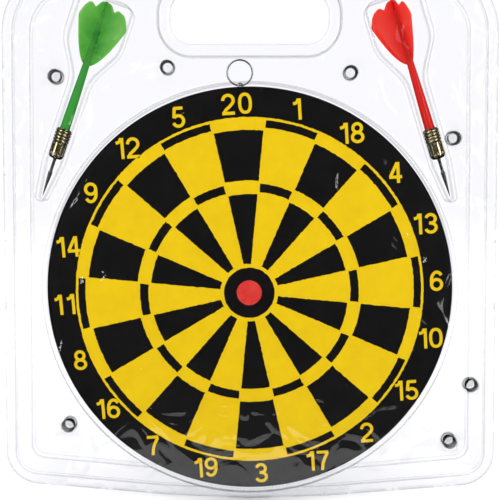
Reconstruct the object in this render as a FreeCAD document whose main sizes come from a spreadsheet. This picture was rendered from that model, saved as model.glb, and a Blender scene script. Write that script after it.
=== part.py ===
"""Round paper-core dartboard with two steel-point darts in a clear hinged clamshell.

X runs to the right and Z up, seen from the front. +Y points back into the wall.
The origin lies on the rearmost plane of the pack, behind the centre of the bull.
"Depth" always means the distance in front of that plane, so y = -depth.
"""
import FreeCAD, Part
import math
import os

import Sketcher

from FreeCAD import Placement, Rotation, Vector

# Driving dimensions in millimetres and degrees: alias, value, what it is.
SIZES = [
    # the pack, a thin clear sheet formed into two shells
    ("film", 0.5, "thickness of the clear sheet"),
    ("pack_side", 19.3, "cavity of the board to the side edge, at the top"),
    ("pack_flare", 6.2, "how much further out each side is at the bottom corners"),
    ("pack_above_handle", 18.6, "handle hole to the top edge"),
    ("pack_short", 2.0, "rim of the board down past the bottom corners"),
    ("pack_bow", 12.5, "bottom corners down to where the two halves of the bottom edge would meet"),
    ("bow_radius", 600.0, "radius that rounds off the middle of the bottom edge"),
    ("top_corner_radius", 42.0, "top corners of the flange"),
    ("bottom_corner_radius", 20.0, "bottom corners of the flange"),
    ("plateau_corner_radius", 9.0, "bottom corners of the plateau"),
    ("flange_width", 5.5, "flat flange where the shells meet"),
    ("land_width", 10.5, "low land between the flange and the plateau"),
    ("seam_gap", 0.2, "gap between the two flanges"),
    ("land_rise", 1.4, "flange to land, inside the sheet"),
    ("plateau_rise", 2.6, "flange to plateau, inside the sheet"),
    # the handle cut through the top of the pack
    ("handle_half_width", 45.5, "half the length of the handle hole"),
    ("handle_above_ring", 8.45, "top of the hanging ring to the hole"),
    ("handle_height", 29.0, "height of the hole"),
    ("handle_corner_radius", 12.0, "corners of the hole"),
    ("handle_border", 7.0, "flat border round the hole"),
    # the snap buttons pressed into both shells
    ("snap_cup_radius", 3.8, "inside radius of the rear cups"),
    ("snap_play", 0.4, "gap between a front stud and its rear cup"),
    ("snap_stud_reach", 4.0, "how far the front studs go behind the seam"),
    ("snap_floor_gap", 0.8, "gap between a stud's end and the floor of its cup"),
    # the board
    ("board_radius", 120.0, "outer radius of the board"),
    ("board_thickness", 12.0, "board over both cover sheets"),
    ("board_gap", 0.5, "gap between the board and each shell"),
    ("board_side_gap", 3.3, "gap between the rim and the wall of the cavity"),
    ("cover", 0.4, "thickness of the printed cover sheets"),
    ("rim_round", 3.6, "rounding of the board's edge"),
    # the hanging ring and its wire eye
    ("hanger_angle", 2.5, "how far the hanger sits left of straight up"),
    ("ring_radius", 7.3, "centre line radius of the ring"),
    ("ring_wire", 1.0, "wire diameter of the ring"),
    ("ring_lift", 0.35, "gap between the rim and the ring"),
    ("eye_wire", 0.9, "wire diameter of the eye"),
    ("eye_leg_spacing", 3.6, "distance between the legs of the eye"),
    ("eye_play", 0.3, "gap between the ring and the crown of the eye"),
    ("eye_leg_depth", 9.0, "how far the legs go into the board"),
    ("eye_twist", 50.0, "how far the eye is turned from square to the ring"),
    # the darts
    ("green_out", 11.414, "cavity of the board to the tip of the green dart"),
    ("green_bearing", 155.109, "bearing of the tip from the bull, anticlockwise from the right"),
    ("green_lean", 19.9, "lean of the green dart to the right"),
    ("red_out", 7.353, "cavity of the board to the tip of the red dart"),
    ("red_bearing", 25.526, "bearing of the tip from the bull, anticlockwise from the right"),
    ("red_lean", -17.9, "lean of the red dart, to the left"),
    ("point_length", 23.4, "tip to the nose of the barrel"),
    ("needle_length", 14.8, "tip to the shoulder of the point"),
    ("needle_radius", 1.25, "shoulder, the thickest part of the point"),
    ("neck_radius", 0.85, "neck of the point, held in the barrel"),
    ("point_hold", 8.0, "length of the neck inside the barrel"),
    ("barrel_length", 18.0, "nose to rear face"),
    ("barrel_radius", 4.6, "outer radius of the barrel"),
    ("barrel_nose_radius", 2.3, "radius of the flat at the nose"),
    ("nose_length", 2.6, "length of the domed nose"),
    ("ring_groove_depth", 0.5, "depth of the grip grooves"),
    ("ring_groove_width", 0.8, "width of each grip groove"),
    ("ring_groove_pitch", 1.6, "spacing of the grip grooves"),
    ("flute_length", 7.0, "length of the grip flutes"),
    ("flute_radius", 0.5, "radius of the grip flutes"),
    ("spigot_radius", 1.6, "spigot of the stem, screwed into the barrel"),
    ("spigot_length", 6.0, "length of the spigot"),
    ("stem_length", 38.8, "barrel to the root of the fins"),
    ("stem_radius", 3.0, "stem at the barrel"),
    ("stem_thin_radius", 2.0, "stem at the fins"),
    ("stem_tail_radius", 0.9, "end of the stem between the fins"),
    ("fin_length", 38.5, "root to tail of the fins"),
    ("fin_thickness", 0.6, "thickness of a fin"),
    # the pockets of the darts
    ("pocket_tip_half", 3.2, "half width of a pocket at the tip"),
    ("pocket_tip_gap", 3.5, "length of a pocket beyond the tip"),
    ("pocket_gap", 1.8, "gap between the barrel and the pocket wall"),
    ("pocket_fin_gap", 2.2, "gap between the fins and the pocket wall"),
    ("pocket_half_depth", 6.3, "seam to the floor of a pocket, inside"),
]

# Snap buttons: out from the cavity of the board, bearing from the bull, and the level they stand on.
SNAPS = [
    ("top_left", 45.882, 131.861, "plateau_rise"),
    ("top_mid_left", 16.302, 109.98, "plateau_rise"),
    ("top_mid_right", 17.609, 65.381, "plateau_rise"),
    ("right_upper", 26.222, 37.199, "plateau_rise"),
    ("right_lower", 22.03, -23.178, "land_rise"),
    ("bottom_right", 29.022, -37.156, "plateau_rise"),
    ("bottom_left", 14.26, -143.097, "plateau_rise"),
]

# Fins of each dart, pressed flat by the pack: angle round the dart and reach.
FINS = {
    "green": [(19.0, 15.6), (-17.0, 14.8), (160.0, 14.2), (-158.0, 13.0)],
    "red": [(161.0, 15.6), (-163.0, 15.2), (38.0, 9.2), (-36.0, 8.6)],
}

# Sizes that follow from others, so that the pack stays fitted to what it holds.
TIED = [
    ("cavity_radius", "=board_radius + board_side_gap", "inside radius of the board's cavity"),
    ("pack_half_width", "=cavity_radius + pack_side", "centre line to the side edge, at the top"),
    ("pack_corner_drop", "=board_radius - pack_short", "bull centre down to the bottom corners"),
    (
        "handle_low",
        "=board_radius + ring_lift + ring_wire + 2 * ring_radius + handle_above_ring",
        "bull centre up to the lower edge of the hole",
    ),
    ("pack_top", "=handle_low + handle_height + pack_above_handle", "bull centre up to the top edge"),
]

GROOVES = 4
FLUTES = 12

# Depth of the plane where the shells meet, and the room inside each of them.
ROOM = "max(Sizes.board_thickness / 2 + Sizes.board_gap; Sizes.pocket_half_depth)"
SEAM = f"({ROOM} + Sizes.film)"
FACE_GAP = "Sizes.seam_gap / 2"

# Heights along a dart, from its tip.
NOSE = "Sizes.point_length"
TAIL = "(Sizes.point_length + Sizes.barrel_length)"
FIN_ROOT = "(Sizes.point_length + Sizes.barrel_length + Sizes.stem_length)"

doc = FreeCAD.newDocument("Dartboard")
sheet = doc.addObject("Spreadsheet::Sheet", "Sizes")


def placed(name, out, bearing):
    """Rows for a point at a bearing from the bull and a distance out from the board's cavity."""
    reach = f"(cavity_radius + {out})"
    return [
        (f"{name}_x", f"={reach} * cos({bearing} * 1 deg)", f"{name}, sideways"),
        (f"{name}_z", f"={reach} * sin({bearing} * 1 deg)", f"{name}, upwards"),
    ]


def fill_sheet():
    """Put every dimension in its own row, with its alias."""
    rows = list(SIZES)
    for colour, fins in FINS.items():
        for count, (angle, reach) in enumerate(fins, start=1):
            rows += [(f"{colour}_angle_{count}", angle, f"fin {count} of the {colour} dart, angle")]
            rows += [(f"{colour}_reach_{count}", reach, f"fin {count} of the {colour} dart, reach")]
    rows += TIED
    for colour in FINS:
        rows += placed(f"{colour}_tip", f"{colour}_out", f"{colour}_bearing")
    for name, out, bearing, _ in SNAPS:
        rows += placed(name, out, bearing)
    for row, (alias, value, meaning) in enumerate(rows, start=1):
        sheet.set(f"A{row}", meaning)
        sheet.set(f"B{row}", str(value))
        sheet.setAlias(f"B{row}", alias)
        if str(value).startswith("="):
            doc.recompute()
    doc.recompute()


def number(expression):
    """The present value of an expression of the sheet."""
    value = sheet.evalExpression(expression)
    return float(getattr(value, "Value", value))


def new_body(label):
    """An empty body whose label names the node."""
    body = doc.addObject("PartDesign::Body", label)
    body.Label = label
    return body


def new_sketch(body, name, depth="0", across="0", up="0", turn="0", axis=(0, 0, 1), role="XZ_Plane"):
    """A sketch on one of the body's own planes, moved along its normal and turned."""
    plane = next(item for item in body.Origin.OriginFeatures if item.Role == role)
    sketch = body.newObject("Sketcher::SketchObject", f"{body.Label}_{name}")
    sketch.AttachmentSupport = [(plane, "")]
    sketch.MapMode = "FlatFace"
    sketch.AttachmentOffset = Placement(Vector(), Rotation(Vector(*axis), number(turn)))
    sketch.setExpression("AttachmentOffset.Base.x", across)
    sketch.setExpression("AttachmentOffset.Base.y", up)
    sketch.setExpression("AttachmentOffset.Base.z", depth)
    if turn != "0":
        sketch.setExpression("AttachmentOffset.Rotation.Angle", turn)
    return sketch


def constrain(sketch, rules):
    """Add constraints together, each with the expression that its value follows or None."""
    made = [
        Sketcher.Constraint(*rule) if to is None else Sketcher.Constraint(*rule, number(to))
        for rule, to in rules
    ]
    first = sketch.ConstraintCount
    sketch.addConstraint(made)
    for index, (_, to) in enumerate(rules, start=first):
        if to is not None:
            sketch.setExpression(f"Constraints[{index}]", to)


def pinned(item, end, x, y):
    """Rules that tie a point of a sketch to expressions of the sheet."""
    return [(("DistanceX", -1, 1, item, end), x), (("DistanceY", -1, 1, item, end), y)]


def circle(sketch, x, y, radius):
    """A circle tied to the sheet."""
    shape = Part.Circle(Vector(number(x), number(y)), Vector(0, 0, 1), number(radius))
    item = sketch.addGeometry(shape)
    constrain(sketch, [*pinned(item, 3, x, y), (("Radius", item), radius)])


def rounding(before, here, after, radius):
    """The arc of a rounded corner: where it starts, where it ends and the arc itself."""
    inward, outward = (before - here).normalize(), (after - here).normalize()
    half = inward.getAngle(outward) / 2
    middle = (inward + outward).normalize()
    start = here + inward * (radius / math.tan(half))
    end = here + outward * (radius / math.tan(half))
    crown = here + middle * (radius / math.sin(half) - radius)
    return start, end, Part.Arc(start, crown, end)


def outline(sketch, corners):
    """A closed outline through corners (x, y) or (x, y, radius), tied to the sheet."""
    count = len(corners)
    points = [Vector(number(corner[0]), number(corner[1])) for corner in corners]
    arrive, leave, arcs = list(points), list(points), [None] * count
    for i, corner in enumerate(corners):
        if len(corner) == 3:
            after = points[(i + 1) % count]
            arrive[i], leave[i], arcs[i] = rounding(points[i - 1], points[i], after, number(corner[2]))
    lines = [
        sketch.addGeometry(Part.LineSegment(leave[i], arrive[(i + 1) % count])) for i in range(count)
    ]
    rules = []
    for i, corner in enumerate(corners):
        if arcs[i] is None:
            rules += [(("Coincident", lines[i - 1], 2, lines[i], 1), None)]
            rules += pinned(lines[i], 1, corner[0], corner[1])
            continue
        arc = sketch.addGeometry(arcs[i])
        turn = (points[i] - arrive[i]).cross(leave[i] - points[i]).z
        first = 1 if turn > 0 else 2  # an arc of a sketch runs anticlockwise
        tip = sketch.addGeometry(Part.Point(points[i]), True)
        rules += [
            (("Tangent", lines[i - 1], 2, arc, first), None),
            (("Tangent", arc, 3 - first, lines[i], 1), None),
            (("Radius", arc), corner[2]),
            (("PointOnObject", tip, 1, lines[i - 1]), None),
            (("PointOnObject", tip, 1, lines[i]), None),
            *pinned(tip, 1, corner[0], corner[1]),
        ]
    constrain(sketch, rules)


def feature(body, kind, sketch, length, backwards=False):
    """A Pad or Pocket of a sketch, with its length tied to the sheet."""
    item = body.newObject(f"PartDesign::{kind}", f"{sketch.Name}_{kind}")
    item.Profile = sketch
    item.setExpression("Length", length)
    item.Reversed = backwards
    sketch.Visibility = False
    return item


def turned(body, name, corners):
    """A solid of revolution round the body's own Z axis from (radius, height) corners."""
    sketch = new_sketch(body, name)
    outline(sketch, corners)
    item = body.newObject("PartDesign::Revolution", f"{sketch.Name}_Revolution")
    item.Profile = sketch
    item.ReferenceAxis = (sketch, ["V_Axis"])
    item.Angle = 360
    return item


# ---------------------------------------------------------------- the pack


def pack_outline(inset, top_radius, low_radius):
    """The outline of the pack, moved inwards, with its bowed bottom edge."""
    side = f"Sizes.pack_half_width - ({inset})"
    low_side = f"{side} + Sizes.pack_flare"
    top = f"Sizes.pack_top - ({inset})"
    low = f"-Sizes.pack_corner_drop + ({inset})"
    # a corner this far down gives an arc that bows by pack_bow
    middle = f"{low} - Sizes.pack_bow"
    return [
        (f"-({side})", top, top_radius),
        (side, top, top_radius),
        (low_side, low, low_radius),
        ("0", middle, "Sizes.bow_radius"),
        (f"-({low_side})", low, low_radius),
    ]


def pocket_outline(extra):
    """The outline of a dart's pocket along the dart, its tip at the origin."""
    tip = f"Sizes.pocket_tip_half + ({extra})"
    waist = f"Sizes.barrel_radius + Sizes.pocket_gap + ({extra})"
    wide = f"max(Sizes.green_reach_1; Sizes.red_reach_1) + Sizes.pocket_fin_gap + ({extra})"
    start = f"-Sizes.pocket_tip_gap - ({extra})"
    tail = f"{FIN_ROOT} + Sizes.fin_length + Sizes.pocket_fin_gap + ({extra})"
    right = [
        (tip, start, tip),
        (waist, f"{NOSE} - 3"),
        (waist, f"{FIN_ROOT} - 8 - ({extra})", "20"),
        (wide, f"{FIN_ROOT} + 12 - ({extra})", "20"),
        (wide, tail, f"7 + ({extra})"),
    ]
    return right + [(f"-({corner[0]})", *corner[1:]) for corner in reversed(right)]


def handle_outline(extra):
    """The outline of the handle hole, grown on every side."""
    side = f"Sizes.handle_half_width + ({extra})"
    low = f"Sizes.handle_low - ({extra})"
    top = f"Sizes.handle_low + Sizes.handle_height + ({extra})"
    rounding_off = f"Sizes.handle_corner_radius + ({extra})"
    corners = ((f"-({side})", top), (side, top), (side, low), (f"-({side})", low))
    return [(x, y, rounding_off) for x, y in corners]


class Shell:
    """One half of the pack: a sheet formed away from the seam, to the front or the back."""

    def __init__(self, label, front):
        self.body = new_body(label)
        self.front = front
        self.sign = "+" if front else "-"

    def sketch(self, name, out="0", **place):
        """A sketch at a distance out from the flange's inner face."""
        depth = f"{SEAM} {self.sign} ({FACE_GAP} + ({out}))"
        return new_sketch(self.body, name, depth=depth, **place)

    def add(self, name, corners, rise, out="0", **place):
        """Sheet standing out from the flange over an outline."""
        sketch = self.sketch(name, out, **place)
        outline(sketch, corners)
        return feature(self.body, "Pad", sketch, rise, backwards=not self.front)

    def hollow(self, name, corners, depth, out="0", inward=False, **place):
        """Remove an outline, outwards from the flange or back towards it."""
        sketch = self.sketch(name, out, **place)
        outline(sketch, corners)
        return feature(self.body, "Pocket", sketch, depth, backwards=self.front != inward)


def dart_place(colour):
    """Where a dart's own sketches lie in the pack: its tip, and along its lean."""
    return {
        "across": f"Sizes.{colour}_tip_x",
        "up": f"Sizes.{colour}_tip_z",
        "turn": f"-Sizes.{colour}_lean",
    }


def make_shell(label, front):
    """A formed shell with land, plateau, board cavity, dart pockets, handle and snaps."""
    shell = Shell(label, front)
    body = shell.body
    land, plateau = "Sizes.flange_width", "Sizes.flange_width + Sizes.land_width"
    low = "Sizes.bottom_corner_radius"
    top = "Sizes.top_corner_radius"
    plateau_low = "Sizes.plateau_corner_radius"
    deep = f"{ROOM} - {FACE_GAP}"
    wall = "Sizes.film"

    shell.add("flange", pack_outline("0", top, low), wall)
    edge = pack_outline(land, f"{top} - ({land})", f"{low} - ({land})")
    shell.add("land", edge, f"Sizes.land_rise + {wall}")
    edge = pack_outline(plateau, f"{top} - ({plateau})", plateau_low)
    shell.add("plateau", edge, f"Sizes.plateau_rise + {wall}")
    cavity = "Sizes.cavity_radius"
    disc = shell.sketch("cavity")
    circle(disc, "0", "0", f"{cavity} + {wall}")
    feature(body, "Pad", disc, f"{deep} + {wall}", backwards=not front)
    for colour in FINS:
        shell.add(f"{colour}_pocket", pocket_outline(wall), f"{deep} + {wall}", **dart_place(colour))

    inset = f"{land} + {wall}"
    edge = pack_outline(inset, f"{top} - ({inset})", f"{low} - ({inset})")
    shell.hollow("land_void", edge, "Sizes.land_rise")
    inset = f"{plateau} + {wall}"
    edge = pack_outline(inset, f"{top} - ({inset})", f"{plateau_low} - {wall}")
    shell.hollow("plateau_void", edge, "Sizes.plateau_rise")
    disc = shell.sketch("cavity_void")
    circle(disc, "0", "0", cavity)
    feature(body, "Pocket", disc, deep, backwards=front)
    for colour in FINS:
        shell.hollow(f"{colour}_pocket_void", pocket_outline("0"), deep, **dart_place(colour))

    border = "Sizes.handle_border"
    shell.add("handle_well", handle_outline(f"{border} + {wall}"), f"Sizes.plateau_rise + {wall}")
    above = f"Sizes.plateau_rise + {wall}"
    shell.hollow("handle_recess", handle_outline(border), "Sizes.plateau_rise", out=above, inward=True)
    shell.hollow("handle_hole", handle_outline("0"), wall)
    make_snaps(shell)
    return body


def make_snaps(shell):
    """Studs that reach back through the seam, or the cups that take them."""
    for level in ("plateau_rise", "land_rise"):
        if shell.front:
            end = f"{SEAM} - Sizes.snap_stud_reach"
            outer = "Sizes.snap_cup_radius - Sizes.snap_play"
            inner = f"{outer} - Sizes.film"
            mouth = f"{SEAM} + {FACE_GAP} + Sizes.{level} + Sizes.film"
        else:
            end = f"{SEAM} - Sizes.snap_stud_reach - Sizes.snap_floor_gap - Sizes.film"
            outer, inner = "Sizes.snap_cup_radius + Sizes.film", "Sizes.snap_cup_radius"
            mouth = f"{SEAM} - {FACE_GAP} - Sizes.{level}"
        solid = new_sketch(shell.body, f"snap_{level}", depth=end)
        void = new_sketch(shell.body, f"snap_void_{level}", depth=f"{end} + Sizes.film")
        for name, *_, stands_on in SNAPS:
            if stands_on == level:
                circle(solid, f"Sizes.{name}_x", f"Sizes.{name}_z", outer)
                circle(void, f"Sizes.{name}_x", f"Sizes.{name}_z", inner)
        feature(shell.body, "Pad", solid, f"({mouth}) - ({end})")
        feature(shell.body, "Pocket", void, f"{ROOM} * 2", backwards=True)


# ---------------------------------------------------------------- the board

HALF = "Sizes.board_thickness / 2"
RIM = "Sizes.board_radius"


def stand_in_pack(body):
    """Turn a body made about its own Z axis to face forward, centred on the seam."""
    body.Placement = Placement(Vector(), Rotation(Vector(1, 0, 0), 90))
    body.setExpression("Placement.Base.y", f"-{SEAM}")


def make_board():
    """Wound paper core with a printed cover sheet drawn over each side to mid rim."""
    inner = f"{RIM} - Sizes.cover"
    round_in = "Sizes.rim_round - Sizes.cover"
    flat = f"{HALF} - Sizes.cover"
    core = new_body("board_core")
    turned(core, "section", [
        ("0", f"-({flat})"),
        (inner, f"-({flat})", round_in),
        (inner, flat, round_in),
        ("0", flat),
    ])
    stand_in_pack(core)
    bodies = [core]
    for label, sign in (("board_face", ""), ("board_back", "-")):
        skin = new_body(label)
        turned(skin, "section", [
            ("0", f"{sign}({flat})"),
            (inner, f"{sign}({flat})", round_in),
            (inner, "0"),
            (RIM, "0"),
            (RIM, f"{sign}({HALF})", "Sizes.rim_round"),
            ("0", f"{sign}({HALF})"),
        ])
        stand_in_pack(skin)
        bodies.append(skin)
    return bodies


def make_eye():
    """A wire staple whose legs are driven into the rim and whose crown holds the ring."""
    eye = new_body("hanger_eye")
    rise = "Sizes.ring_wire / 2 + Sizes.eye_play + Sizes.eye_wire / 2"
    half = "Sizes.eye_leg_spacing / 2"
    base = f"{rise} - {half}"
    end = "-(Sizes.ring_lift + Sizes.ring_wire / 2 + Sizes.eye_leg_depth)"
    path = new_sketch(eye, "path")
    centre = Vector(0, number(base))
    radius = number(half)
    left, right = Vector(-radius, 0), Vector(radius, 0)
    low = Vector(0, number(end))
    up_leg = path.addGeometry(Part.LineSegment(left + low, left + centre))
    crown = path.addGeometry(Part.Arc(left + centre, centre + Vector(0, radius), right + centre))
    down_leg = path.addGeometry(Part.LineSegment(right + centre, right + low))
    constrain(path, [
        (("Tangent", up_leg, 2, crown, 2), None),
        (("Tangent", crown, 1, down_leg, 1), None),
        *pinned(up_leg, 1, f"-({half})", end),
        *pinned(crown, 3, "0", base),
        *pinned(down_leg, 2, half, end),
    ])
    wire = new_sketch(eye, "wire", depth=end, role="XY_Plane")
    circle(wire, f"-({half})", "0", "Sizes.eye_wire / 2")
    pipe = eye.newObject("PartDesign::AdditivePipe", "hanger_eye_pipe")
    pipe.Profile = wire
    pipe.Spine = (path, [])
    return eye


def make_ring():
    """The loose wire ring, standing in the plane of the board."""
    ring = doc.addObject("Part::Torus", "hanger_ring")
    ring.Label = "hanger_ring"
    ring.setExpression("Radius1", "Sizes.ring_radius")
    ring.setExpression("Radius2", "Sizes.ring_wire / 2")
    return ring


def place_hanger(item, lift, tilt):
    """Put the eye or the ring on the rim, at the hanger's angle."""
    reach = f"({RIM} + Sizes.ring_lift + Sizes.ring_wire / 2 + ({lift}))"
    lean = Rotation(Vector(0, 1, 0), -number("Sizes.hanger_angle"))
    item.Placement = Placement(Vector(), lean.multiply(tilt))
    item.setExpression("Placement.Base.x", f"-{reach} * sin(Sizes.hanger_angle * 1 deg)")
    item.setExpression("Placement.Base.y", f"-{SEAM}")
    item.setExpression("Placement.Base.z", f"{reach} * cos(Sizes.hanger_angle * 1 deg)")


# ---------------------------------------------------------------- the darts


def place_dart(item, colour):
    """Lay a piece made along its own Z axis in its pocket, tip down."""
    item.Placement = Placement(Vector(), Rotation(Vector(0, 1, 0), number(f"Sizes.{colour}_lean")))
    item.setExpression("Placement.Base.x", f"Sizes.{colour}_tip_x")
    item.setExpression("Placement.Base.y", f"-{SEAM}")
    item.setExpression("Placement.Base.z", f"Sizes.{colour}_tip_z")
    item.setExpression("Placement.Rotation.Angle", f"Sizes.{colour}_lean")
    return item


def make_point(colour):
    """A steel needle with a shoulder and a thin neck that is pressed into the barrel."""
    point = new_body(f"{colour}_point")
    turned(point, "section", [
        ("0", "0"),
        ("Sizes.needle_radius", "Sizes.needle_length"),
        ("Sizes.neck_radius", "Sizes.needle_length + 0.6"),
        ("Sizes.neck_radius", f"{NOSE} + Sizes.point_hold"),
        ("0", f"{NOSE} + Sizes.point_hold"),
    ])
    return place_dart(point, colour)


def make_barrel(colour):
    """A turned brass barrel with a domed nose, grip rings at the rear and flutes."""
    barrel = new_body(f"{colour}_barrel")
    radius = "Sizes.barrel_radius"
    grooves = []
    for count in reversed(range(GROOVES)):
        start = f"{TAIL} - 1 - Sizes.ring_groove_width - {count} * Sizes.ring_groove_pitch"
        stop = f"{start} + Sizes.ring_groove_width"
        bottom = f"{radius} - Sizes.ring_groove_depth"
        grooves += [(radius, start), (bottom, start), (bottom, stop), (radius, stop)]
    turned(barrel, "section", [
        ("0", f"{NOSE} + Sizes.point_hold"),
        ("Sizes.neck_radius", f"{NOSE} + Sizes.point_hold"),
        ("Sizes.neck_radius", NOSE),
        ("Sizes.barrel_nose_radius", NOSE),
        (radius, f"{NOSE} + Sizes.nose_length", "2"),
        *grooves,
        (radius, TAIL),
        ("Sizes.spigot_radius", TAIL),
        ("Sizes.spigot_radius", f"{TAIL} - Sizes.spigot_length"),
        ("0", f"{TAIL} - Sizes.spigot_length"),
    ])
    doc.recompute()
    flute = new_sketch(barrel, "flute", depth=f"{NOSE} + Sizes.nose_length + 0.8", role="XY_Plane")
    circle(flute, radius, "0", "Sizes.flute_radius")
    cut = feature(barrel, "Pocket", flute, "Sizes.flute_length", backwards=True)
    pattern = barrel.newObject("PartDesign::PolarPattern", f"{colour}_flutes")
    pattern.Originals = [cut]
    pattern.Axis = (next(item for item in barrel.Origin.OriginFeatures if item.Role == "Z_Axis"), [""])
    pattern.Angle = 360
    pattern.Occurrences = FLUTES
    barrel.Tip = pattern
    return place_dart(barrel, colour)


def fin_outline(reach):
    """A leaf-shaped fin from the axis outwards, with a notched tail."""
    root, span = FIN_ROOT, "Sizes.fin_length"
    return [
        ("0", root),
        (f"0.12 * {reach}", root),
        (f"0.78 * {reach}", f"{root} + 0.33 * {span}", "14"),
        (reach, f"{root} + 0.62 * {span}", "12"),
        (f"0.86 * {reach}", f"{root} + 0.92 * {span}", "3"),
        (f"0.42 * {reach}", f"{root} + 0.87 * {span}"),
        (f"0.22 * {reach}", f"{root} + {span}"),
        ("0", f"{root} + {span}"),
    ]


def make_flight(colour):
    """Stem and four fins moulded in one piece, with a spigot that goes into the barrel."""
    flight = new_body(f"{colour}_flight")
    turned(flight, "stem", [
        ("0", f"{TAIL} - Sizes.spigot_length"),
        ("Sizes.spigot_radius", f"{TAIL} - Sizes.spigot_length"),
        ("Sizes.spigot_radius", TAIL),
        ("Sizes.stem_radius", TAIL),
        ("Sizes.stem_thin_radius", FIN_ROOT),
        ("Sizes.stem_tail_radius", f"{FIN_ROOT} + 0.85 * Sizes.fin_length"),
        ("0", f"{FIN_ROOT} + 0.85 * Sizes.fin_length"),
    ])
    for count in range(1, len(FINS[colour]) + 1):
        turn = f"Sizes.{colour}_angle_{count}"
        sketch = new_sketch(flight, f"fin_{count}", turn=turn, axis=(0, 1, 0))
        outline(sketch, fin_outline(f"Sizes.{colour}_reach_{count}"))
        pad = feature(flight, "Pad", sketch, "Sizes.fin_thickness")
        pad.Midplane = True
    return place_dart(flight, colour)


# ---------------------------------------------------------------- build and write


def check(items):
    """Stop if any object of the document failed or a piece is not one valid solid."""
    for item in doc.Objects:
        bad = {"Invalid", "Error"} & set(item.State)
        if bad:
            raise RuntimeError(f"{item.Label}: {item.State}")
    for item in items:
        shape = item.Shape
        if shape.isNull() or not shape.isValid() or not shape.Solids:
            raise RuntimeError(f"{item.Label}: no valid solid")
        print(f"{item.Label}: {len(shape.Solids)} solid, {shape.Volume:.0f} mm3")


def main():
    """Build every piece, check it and write its STEP file."""
    fill_sheet()
    pieces = [make_shell("back_shell", front=False), make_shell("front_shell", front=True)]
    pieces += make_board()
    eye, ring = make_eye(), make_ring()
    place_hanger(eye, "0", Rotation(Vector(0, 0, 1), 90 - number("Sizes.eye_twist")))
    place_hanger(ring, "Sizes.ring_radius", Rotation(Vector(1, 0, 0), 90))
    pieces += [eye, ring]
    for colour in FINS:
        pieces += [make_point(colour), make_barrel(colour), make_flight(colour)]
    doc.recompute()
    check(pieces)
    os.makedirs("parts", exist_ok=True)
    for piece in pieces:
        piece.Shape.exportStep(f"parts/{piece.Label}.step")


main()
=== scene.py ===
"""Looks of a round paper-core dartboard with two steel-point darts in a clear clamshell.

Metres, X to the right, Z up, the wall behind the pack at y = 0. Sizes below are in millimetres
and "depth" is the distance in front of the wall, so y = -depth.
"""
import math
import random

import bmesh
import bpy
import numpy as np
from mathutils import Matrix, Vector
from mathutils.geometry import delaunay_2d_cdt


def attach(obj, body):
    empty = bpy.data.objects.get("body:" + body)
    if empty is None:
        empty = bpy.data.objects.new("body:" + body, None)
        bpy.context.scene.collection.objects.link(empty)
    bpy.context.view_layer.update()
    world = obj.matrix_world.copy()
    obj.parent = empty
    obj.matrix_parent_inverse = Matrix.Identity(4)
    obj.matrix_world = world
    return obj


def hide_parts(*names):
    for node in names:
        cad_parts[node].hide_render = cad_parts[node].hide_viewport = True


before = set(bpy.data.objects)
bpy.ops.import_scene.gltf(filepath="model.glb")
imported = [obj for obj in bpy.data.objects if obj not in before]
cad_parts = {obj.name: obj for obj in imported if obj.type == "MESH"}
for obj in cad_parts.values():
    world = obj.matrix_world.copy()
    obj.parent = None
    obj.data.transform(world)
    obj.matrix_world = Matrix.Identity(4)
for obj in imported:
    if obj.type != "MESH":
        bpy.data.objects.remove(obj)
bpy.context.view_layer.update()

MM = 0.001

# ---------------------------------------------------------------- sizes of the real pieces, mm

SEAM = 7.0  # depth of the plane where the two shells meet
FILM = 0.5
FRONT_FLANGE = 7.6  # depth of the front shell's flange, outside
BACK_FLANGE = 6.4  # depth of the rear shell's flange, outside
LAND_RISE = 1.4
PLATEAU_RISE = 2.6
ROOF_RISE = 6.4  # flange to the flat over the board and the darts
FLANGE_WIDTH = 5.5
LAND_WIDTH = 10.5
CAVITY_RADIUS = 123.8
HANDLE_BORDER = 7.5
PACK_SIDE, PACK_FLARE = 142.6, 6.2  # half width at the top, and how far each side spreads below
PACK_TOP, PACK_BASE, PACK_BOW = 192, -118, 12.5  # heights, and how far the bottom edge bows down
HANDLE_SIDE, HANDLE_LOW, HANDLE_HIGH, HANDLE_CORNER = 45.5, 144.4, 173.4, 12
STUD_RADIUS, STUD_WALL, STUD_END = 3.7, 0.9, -4.1  # a snap's stud in the front shell
CUP_RADIUS, CUP_WALL, CUP_END = 4.3, 0.7, 4.7  # and its cup in the rear shell
RING_RADIUS, RING_WIRE, RING_LEAN = 7.3, 0.5, 2.5  # the hanging ring, and its lean in degrees

BOARD_RADIUS = 120.0
BOARD_HALF = 6.0
COVER = 0.4
RIM_ROUND = 3.6
PRINT_RADIUS = 102.4  # outside of the double ring
PRINT_TURN = 3.8  # the print sits this many degrees anticlockwise on the board
PRINT_THICK = 0.05

DARTS = {
    "green": {"tip": (-122.2, 56.7), "lean": 19.9},
    "red": {"tip": (117.9, 56.3), "lean": -17.9},
}
FINS = {  # angle round the dart, reach
    "green": [(19.0, 15.4), (-17.0, 14.8), (160.0, 13.6), (-158.0, 12.8)],
    "red": [(161.0, 15.4), (-163.0, 15.0), (38.0, 9.2), (-36.0, 8.6)],
}
GRIP, RIDGE, RIDGES = 4.35, 4.65, 4  # radii of a barrel's grip and ridges
NOSE, TAIL, FIN_ROOT, FIN_LENGTH = 23.4, 41.4, 80.2, 38.5

SNAPS = [  # sideways, upwards, and the level that each one stands on
    (-112.9, 126.0, PLATEAU_RISE), (-47.7, 131.2, PLATEAU_RISE), (58.7, 128.1, PLATEAU_RISE),
    (119.1, 90.4, PLATEAU_RISE), (133.6, -57.2, LAND_RISE), (121.4, -92.0, PLATEAU_RISE),
    (-110.0, -82.6, PLATEAU_RISE),
]

# ---------------------------------------------------------------- small tools


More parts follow.
